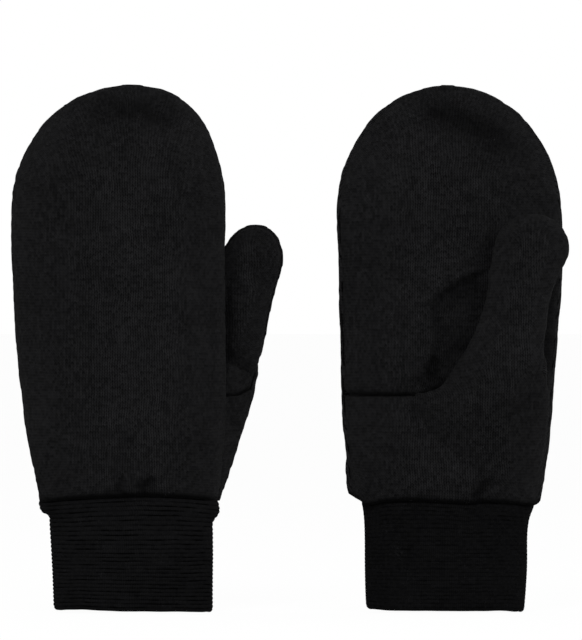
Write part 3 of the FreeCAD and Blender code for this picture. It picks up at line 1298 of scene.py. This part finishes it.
@dataclass
class Cuff:
    """A rib tube folded double at its rim, with ridges that run round it.

    Pitch and ridge are the ridges' spacing and depth, layer is one wall's thickness and air the gap between the
    two. Waviness is how far the limp wall swells, the swell fields how often, and the fades give the heights over
    which that and the hem's line die out.
    """

    placement: Placement
    inner_edge: Points
    outer_edge: Points
    hem: Points
    lines: SewingLines
    half_depth: Points = (
        (0, 11.4), (20, 11.6), (40, 11.9), (46, 12.3), (49.5, 12), (52, 11), (55, 10.2), (60, 10),
    )
    top: float = 57.2
    pitch: float = 1.92
    ridge: float = 0.6
    layer: float = 1.7
    air: float = 0.5
    waviness: float = 0.35
    fullness: float = 2.25
    segments: int = 150
    finish: ClothFinish = RIB
    ridge_roundness: float = 0.7
    points_per_ridge: int = 4
    rim_steps: int = 8
    rim_hollow: float = 0.4
    swell_round: float = 2.2
    swell_up: float = 0.03
    rim_swell: float = 1.7
    rim_share: float = 0.7
    rim_fade: float = 14.0
    hem_fade: float = 30.0

    def profile(self) -> list[Span]:
        """Inset and height along the wall, from the outer top down, round the rim and up inside."""
        fold = self.layer + self.air / 2
        steps = int((self.top - fold) / self.pitch * self.points_per_ridge)
        wall = [fold + (self.top - fold) * step / steps for step in range(steps + 1)]
        outer = []
        for z in reversed(wall):
            hollow = 1 - abs(math.sin(math.pi * z / self.pitch)) ** self.ridge_roundness
            outer.append((self.ridge * hollow, z))
        rim = []
        for step in range(1, self.rim_steps):
            angle = math.pi * step / self.rim_steps
            reach = fold - self.ridge * self.rim_hollow
            rim.append((fold - reach * math.cos(angle), fold - fold * math.sin(angle)))
        inner = [(2 * fold - inset, z) for inset, z in reversed(outer)]
        return outer + rim + inner

    def place(self, inset: float, angle: float, height: float) -> Vector:
        """Point of the cuff's wall in the mitten's own frame.

        Args:
            inset: Inwards from the outer surface.
            angle: Round the cuff.
            height: Above the rim.

        Returns:
            The point, in millimetres.
        """
        low, high = curve_at(self.inner_edge, height), curve_at(self.outer_edge, height)
        half_width, half_depth = (high - low) / 2 - inset, curve_at(self.half_depth, height) - inset
        across = math.copysign(abs(math.cos(angle)) ** (2 / self.fullness), math.cos(angle))
        through = math.copysign(abs(math.sin(angle)) ** (2 / self.fullness), math.sin(angle))
        point = Vector(((low + high) / 2 + across * half_width, through * half_depth, height))
        around = self.swell_round
        drift = Vector((across * around, through * around, height * self.swell_up + self.placement.facing))
        swell = noise.noise(drift) * self.waviness
        point += Vector((across * swell, through * swell, 0.0))
        away = smooth_step(0.0, self.rim_fade, self.top - height)
        rise = noise.noise(drift * self.rim_swell + Vector((3, 1, 5)))
        point.z += rise * self.waviness * self.rim_share * away
        point.z += curve_at(self.hem, point.x) * (1 - smooth_step(0.0, self.hem_fade, height))
        point.z += self.lines.cuff_shift(Vector((point.x, 0.0, min(height, self.lines.cuff_z))))
        return point

    def build(self) -> None:
        """Builds the cuff, dressed and riding on the hand."""
        bm = spin_band(self.profile(), self.segments, self.place, join_angle=3.1)
        self.placement.ride(bm, "rib_cuff", self.finish, "rib", "cuff")


@dataclass
class CuffSeam:
    """Overlocked edges where shell, lining and cuff are sewn together, turned inside.

    Low and high are the band's edges, hollow is how far they fall back, and outwards how far the band stands out
    from the cuff's wall.
    """

    placement: Placement
    cuff: Cuff
    low: float = 57.6
    high: float = 61.8
    thickness: float = 1.3
    hollow: float = 0.2
    outwards: float = 0.9
    segments: int = 120

    def build(self) -> None:
        """Builds the seam as a rounded band of stitches, riding on the hand."""
        profile = [(self.hollow, self.low), (0.0, (self.low + self.high) / 2), (self.hollow, self.high)]
        profile += [(self.thickness, self.high), (self.thickness, self.low)]

        def place(inset: float, angle: float, height: float) -> Vector:
            """Point of the band, which stands a little outside the cuff's wall."""
            return self.cuff.place(inset - self.outwards, angle, height)

        bm = spin_band(profile, self.segments, place, join_angle=math.tau)
        self.placement.ride(bm, "overlock_seam", THREAD, "thread", "cuff_seam")


@dataclass
class Mitten:
    """One mitten: shell and lining in four panels each, cuff and inner seam."""

    placement: Placement
    pocket: Form
    thumb: Form
    cuff_inner_edge: Points
    cuff_outer_edge: Points
    hem: Points
    folds: tuple[Fold, ...]
    cuff_curve: Points
    cuff_ridge: float = 0.4
    cuff_finish: ClothFinish = RIB
    outer_turn: float = 0.0
    outer_share: float = 0.1

    def build(self) -> None:
        """Builds every piece of the mitten."""
        lines = SewingLines(cuff_curve=self.cuff_curve, outer_turn=self.outer_turn, outer_share=self.outer_share)
        layer = (self.placement, self.pocket, self.thumb)
        Bag(*layer, lines, self.folds, JERSEY, "", "knit", puff=1.1).build()
        inside = replace(lines, cuff_z=LINING_TOP, cuff_curve=((-45, LINING_TOP), (45, LINING_TOP)))
        lining = {"inset": 2.8, "voxel": 2.6, "cloth": 1.6, "smoothing": 6, "subdivided": False}
        Bag(*layer, inside, self.folds, FLEECE, "lining_", "fleece", **lining).build()
        edges = (self.cuff_inner_edge, self.cuff_outer_edge, self.hem)
        cuff = Cuff(self.placement, *edges, lines, ridge=self.cuff_ridge, finish=self.cuff_finish)
        cuff.build()
        CuffSeam(self.placement, cuff).build()


POCKET_BACK = ((43, -11.8), (50, -12.6), (54, -14), (58, -14.9), (76, -15.3), (150, -15.4))
POCKET_FRONT = ((43, 11.8), (50, 12.4), (54, 13.8), (58, 14.7), (76, 15.1), (150, 15.2))
THUMB_FULLNESS = ((-34, 1.8), (0, 1.8), (12, 1.9), (30, 2.1))
THUMB_PIVOT = (31, 96)
LEFT_POCKET = Form(
    inner_edge=(
        (43, -43.5), (47, -45.6), (52, -46.4), (59, -47.4), (65, -48.8), (76.6, -51.6),
        (88, -53.8), (100, -54.9), (111.5, -56.5), (123, -57.8), (135, -58.9), (158, -59.8),
        (181, -60.4), (195, -60.7),
    ),
    outer_edge=(
        (43, 39.2), (51.6, 40.2), (54, 40.5), (57, 40.8), (70, 42), (86.5, 43.8), (107, 45.1),
        (140, 45), (176, 44.6), (195, 45.2),
    ),
    back=(*POCKET_BACK, (195, -15.2)),
    front=(*POCKET_FRONT, (195, 15.2)),
    bottom=43,
    shoulder=195,
    tip=(-2.4, 1.5, 256.3),
    outer_squareness=0.8,
)
LEFT_THUMB = Form(
    inner_edge=(
        (-34, -14), (-20, -30), (-5, -44), (3, -46), (12, -36), (20, -31), (30, -25.5),
        (45, -19), (60, -16), (74, -14.5),
    ),
    outer_edge=(
        (-42, 24), (-32, 24.6), (-20, 24.8), (-3, 24.8), (12, 24.6), (24, 23.4), (35, 21.8),
        (50, 19.4), (62, 17.8), (69, 17.3), (77, 17.2),
    ),
    back=((-42, 2), (0, 3), (12, 6), (20, 11), (30, 19.5), (40, 20.3), (77, 20.5)),
    front=((-42, 13.5), (-25, 19), (0, 28.5), (12, 32), (20, 34), (45, 37), (77, 38)),
    bottom=-46,
    shoulder=77,
    tip=(1.5, 29.5, 98),
    fullness=THUMB_FULLNESS,
    tilt=18,
    pivot=THUMB_PIVOT,
)
LEFT_FOLDS = (
    Fold(Face.BACK, ((-8.2, 53.6), (-7.4, 58), (-5.6, 65)), -1.5, 2.2, False, 0.2, shade=0.35),
    Fold(Face.BACK, ((1.4, 53.6), (3.8, 56.5), (7, 60), (11, 63.5)), -2.5, 3.1, False, 0.25, shade=0.6),
    Fold(Face.BACK, ((-3.4, 53.6), (-1.8, 59), (2, 69)), 2.1, 2.9),
    Fold(Face.BACK, ((-8, 62), (-5, 76), (-3.5, 92)), -0.9, 5, shade=0.22),
    Fold(Face.BACK, ((-30, 240), (-8, 245), (6, 242.5), (16, 238.5), (28, 234)), -1.6, 5.5, shade=0.5),
    Fold(Face.BACK, ((18, 246), (30, 236), (34, 222)), 0.8, 5),
    Fold(Face.PALM, ((40, 108), (50, 112), (58, 120)), -0.4, 10, panel=Panel.THUMB_BACK, shade=0.4),
    Fold(Face.PALM, ((40, 126), (48, 125), (54, 123)), -0.6, 3, panel=Panel.THUMB_BACK, shade=0.35),
    Fold(Face.PALM, ((40, 105), (46, 105.5), (52, 108.5), (58, 113)), -0.6, 1.8, panel=Panel.THUMB_BACK, shade=0.7),
    Fold(Face.PALM, ((44.5, 108), (45.5, 135), (46, 172)), -0.4, 1.8, panel=Panel.THUMB_BACK, shade=0.45),
)
RIGHT_POCKET = Form(
    inner_edge=(
        (43, -44.5), (48, -46.8), (52, -47.8), (56, -48.3), (64, -48.7), (71, -48.9), (76.6, -49.2),
        (88, -50.4), (94, -50.9), (106, -51.5), (123, -51.8), (158, -52.4), (181, -53.4), (193, -53.9),
    ),
    outer_edge=(
        (43, 43), (48, 45.4), (52, 46.6), (55, 47.4), (59, 48), (76.6, 50.4), (98, 52.8),
        (110, 53.6), (130, 54.8), (146, 56.2), (158, 57.3), (166, 57.6), (180, 57.6), (193, 57.2),
    ),
    back=(*POCKET_BACK, (193, -15.2)),
    front=(*POCKET_FRONT, (193, 15.2)),
    bottom=43,
    shoulder=193,
    tip=(0, 1.5, 256.2),
)
RIGHT_THUMB = Form(
    inner_edge=(
        (-34, -14), (-20, -30), (-5, -46), (2.7, -48), (11.8, -36.4), (18.8, -31.7), (28.8, -26.4),
        (37.6, -22.9), (46.8, -20.6), (56.4, -19.6), (67.5, -19.6), (80, -19),
    ),
    outer_edge=(
        (-34, 15), (-20, 18.5), (0, 19.5), (12.5, 18), (21.6, 15.6), (32.5, 13), (41.7, 12.2),
        (54.6, 12.2), (65.7, 13.8), (76, 17.6), (80, 18.8),
    ),
    back=((-34, 0), (0, 2.5), (11.8, 6), (20, 11), (30, 19.5), (40, 20.3), (80, 20.5)),
    front=((-34, 15), (-20, 20), (0, 28.5), (12, 32), (20, 34), (45, 37), (80, 38)),
    bottom=-36,
    shoulder=80,
    tip=(0.5, 29.5, 98.2),
    fullness=THUMB_FULLNESS,
    tilt=7,
    pivot=THUMB_PIVOT,
)
PALM_HOLLOW = (
    (-9.8, 112), (-9.6, 118), (-7.4, 125), (-6.6, 132), (-7, 138), (-8.2, 143.6), (-9.8, 147.6),
    (-5.5, 152.6), (0, 157.3), (8.2, 162.2), (21, 166.8),
)
RIGHT_FOLDS = (
    Fold(Face.PALM, PALM_HOLLOW, -2.8, 5.5, True, 0.08, Panel.UPPER_PALM, 0.42),
    Fold(Face.PALM, ((-14, 126), (-16, 144), (-11, 160), (0, 170)), 1.3, 6, panel=Panel.UPPER_PALM),
    Fold(Face.PALM, ((-10, 114), (-8.2, 117), (-5.5, 121), (-3.5, 126)), -1.4, 1.9, False, 0.3, Panel.UPPER_PALM, 0.36),
    Fold(Face.PALM, ((-10, 112.4), (-5, 115.6), (0, 119), (4, 124)), 1.2, 1.4),
    Fold(Face.PALM, ((-4, 150), (1, 154), (8, 158)), -0.5, 4, panel=Panel.UPPER_PALM, shade=0.25),
    Fold(Face.PALM, ((-20, 108), (-14.5, 111), (-12.5, 118)), -0.7, 3.5, panel=Panel.UPPER_PALM, shade=0.22),
    Fold(Face.PALM, ((51, 172), (49, 150), (48, 132), (49, 112)), -0.4, 4.5, False, 0.15, Panel.UPPER_PALM, 0.5),
    Fold(Face.PALM, ((12.6, 53.6), (15.4, 57.5), (20.8, 65)), -2, 2.6, False, 0.25, shade=0.6),
    Fold(Face.PALM, ((17.5, 54), (24, 61), (30, 72)), 1, 4),
    Fold(Face.PALM, ((26, 90), (33, 99), (44, 106)), -1, 5, shade=0.15),
    Fold(Face.PALM, ((-22, 243), (0, 241), (20, 233), (40, 216)), -1.6, 8.5, shade=0.62),
)


@dataclass(frozen=True)
class Studio:
    """Plain pale floor and background, soft lamps and the camera."""

    eye: Place = (0.00134, -3.0, 0.1416)
    view_height: float = 0.3104
    sensor: float = 36.0
    ambient: float = 0.6
    lamp_power: float = 9.0
    lamp_aim: Place = (0.0, 0.0, 0.13)
    floor_size: float = 60.0
    floor_gap: float = 0.0002
    floor_white: float = 0.96

    def camera(self) -> None:
        """Sets the camera square on to the pair."""
        data = bpy.data.cameras.new("camera")
        data.sensor_fit = "VERTICAL"
        data.sensor_height = self.sensor
        data.lens = self.sensor * -self.eye[1] / self.view_height
        obj = bpy.data.objects.new("camera", data)
        obj.location = self.eye
        obj.rotation_euler = (math.pi / 2, 0.0, 0.0)
        bpy.context.scene.collection.objects.link(obj)
        bpy.context.scene.camera = obj

    @staticmethod
    def seen(w: Wiring) -> bpy.types.NodeSocket:
        """1 where the camera, a reflection or glass looks, and 0 for light that falls on things."""
        ray = w.node("ShaderNodeLightPath").outputs
        direct = w.math("MAXIMUM", ray["Is Camera Ray"], ray["Is Glossy Ray"])
        return w.math("MAXIMUM", direct, ray["Is Transmission Ray"])

    def background(self) -> None:
        """White where the camera, a reflection or glass looks past the object, and plain ambient light."""
        world = bpy.data.worlds.new("studio")
        world.use_nodes = True
        bpy.context.scene.world = world
        w = Wiring(world.node_tree)
        plain = w.node("ShaderNodeBackground", {"Color": WHITE, "Strength": self.ambient})
        white = w.node("ShaderNodeBackground", {"Color": WHITE, "Strength": 1.0})
        mix = w.node("ShaderNodeMixShader", {0: self.seen(w), 1: plain.outputs[0], 2: white.outputs[0]})
        w.node("ShaderNodeOutputWorld", {"Surface": mix.outputs[0]})

    def floor(self) -> None:
        """A wide pale floor just under the rims that keeps the pair's shadow."""
        bm = bmesh.new()
        bmesh.ops.create_grid(bm, x_segments=2, y_segments=2, size=self.floor_size)
        bmesh.ops.translate(bm, verts=bm.verts, vec=(0, 0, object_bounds()[0].z - self.floor_gap))
        obj = make_object("floor", bm)
        material = bpy.data.materials.new("pale_floor")
        material.use_nodes = True
        w = Wiring(material.node_tree)
        share = w.math("MULTIPLY", self.seen(w), self.floor_white)
        matt = w.node("ShaderNodeBsdfDiffuse", {"Color": PALE})
        white = w.node("ShaderNodeEmission", {"Color": WHITE, "Strength": 1.0})
        mix = w.node("ShaderNodeMixShader", {0: share, 1: matt.outputs[0], 2: white.outputs[0]})
        w.node("ShaderNodeOutputMaterial", {"Surface": mix.outputs[0]})
        obj.data.materials.append(material)
        obj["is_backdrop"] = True

    def lamp(self, name: str, place: Place, share: float, size: float) -> None:
        """Adds a soft square lamp that looks at the middle of the pair.

        Args:
            name: Of the lamp.
            place: Its position.
            share: Of the lamps' power.
            size: Of its side.
        """
        data = bpy.data.lights.new(name, "AREA")
        data.shape = "SQUARE"
        data.size = size
        data.energy = self.lamp_power * share
        obj = bpy.data.objects.new(name, data)
        obj.location = place
        aim = Vector(self.lamp_aim) - Vector(place)
        obj.rotation_euler = aim.to_track_quat("-Z", "Y").to_euler()
        bpy.context.scene.collection.objects.link(obj)

    def lamps(self) -> None:
        """Soft light from above the front, with a little from either side."""
        self.lamp("left_lamp", (-0.4, -1.6, 1.3), 1.9, 0.7)
        self.lamp("right_lamp", (1.0, -1.4, 0.7), 1.6, 0.8)
        self.lamp("left_rim_lamp", (-1.5, 0.5, 0.6), 0.8, 1.2)
        self.lamp("right_rim_lamp", (1.5, 0.7, 0.6), 0.8, 1.2)

    def build(self) -> None:
        """Sets up the whole studio."""
        bpy.context.scene.view_settings.view_transform = "Standard"
        self.camera()
        self.background()
        self.floor()
        self.lamps()


def main() -> None:
    """Builds the studio and both mittens."""
    logging.basicConfig(level=logging.INFO, format="%(name)s: %(message)s")
    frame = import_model()
    Studio().build()
    Mitten(
        placement=Placement.read(frame, Side.LEFT),
        pocket=LEFT_POCKET,
        thumb=LEFT_THUMB,
        cuff_inner_edge=(
            (0, -39.2), (2.6, -39.4), (29.6, -40.6), (41, -41.2), (44.8, -41.4), (45.8, -42.2), (47, -44.4),
            (48.4, -45.6), (50.5, -46.2), (52.2, -46.4), (53.4, -44.6), (56, -42), (60, -41),
        ),
        cuff_outer_edge=(
            (0, 38.1), (24, 38.3), (38, 38.1), (41.8, 38), (43.6, 38.8), (45.6, 40.4), (47.5, 41.2), (50, 41),
            (52.2, 40.4), (54.5, 39), (60, 38.4),
        ),
        hem=((-38, 1), (-25, 1.3), (0, 0.6), (20, 0.4), (38, 0)),
        folds=LEFT_FOLDS,
        cuff_curve=((-45, 53.3), (-30, 54.6), (0, 56.2), (25, 55.4), (41, 53.6)),
        outer_turn=5.0,
        outer_share=1.0,
    ).build()
    Mitten(
        placement=Placement.read(frame, Side.RIGHT),
        pocket=RIGHT_POCKET,
        thumb=RIGHT_THUMB,
        cuff_inner_edge=(
            (0, -38.2), (4, -38.6), (23, -39.2), (40, -39.3), (46, -39.6), (49, -40), (52, -40.6), (60, -40),
        ),
        cuff_outer_edge=(
            (0, 38), (12, 39), (23, 39.6), (38, 39.7), (44.5, 40.4), (48, 41.4), (50.5, 42.4), (52.4, 42.8),
            (54, 41.6), (60, 40.6),
        ),
        hem=((-38, 1.6), (-25, 1), (0, 0.9), (25, 0.8), (38, 0)),
        folds=RIGHT_FOLDS,
        cuff_curve=(
            (-48, 58), (-44, 55.4), (-41, 53.8), (-39, 51.7), (-34, 52.4), (-29, 53.4), (-14, 53.8), (0.5, 53),
            (11.6, 52.5), (19, 53.3), (36, 52.2), (42, 51.7), (44, 52.2), (45.5, 53.4), (48, 56.4),
        ),
        cuff_ridge=0.12,
        cuff_finish=SLACK_RIB,
    ).build()


if __name__ == "__main__":
    main()
